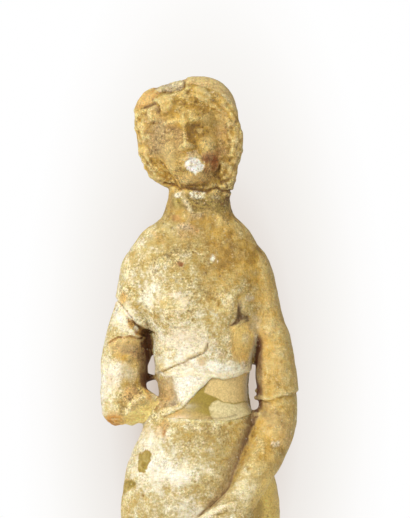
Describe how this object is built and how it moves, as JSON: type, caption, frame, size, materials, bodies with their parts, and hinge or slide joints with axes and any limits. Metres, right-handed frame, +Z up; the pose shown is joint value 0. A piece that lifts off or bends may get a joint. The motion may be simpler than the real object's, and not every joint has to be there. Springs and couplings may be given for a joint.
{
  "type": "roman statuette",
  "caption": "Small standing nude female figure carved in honey-coloured stone with its low base, right forearm broken away, left hand held in front, filled loss at the waist.",
  "frame": {"origin": "centre of the base's underside", "axes": "+Z up the figure from base to head, -Y the way the figure faces, +X towards the figure's left hand"},
  "size_m": [0.058, 0.048, 0.212],
  "materials": {
    "stone": "weathered translucent alabaster with chalky patches and brown stains",
    "fill": "smooth tinted resin, slightly translucent"
  },
  "bodies": {
    "root": {"statuette": "stone", "waist_fill": "fill"}
  },
  "joints": []
}
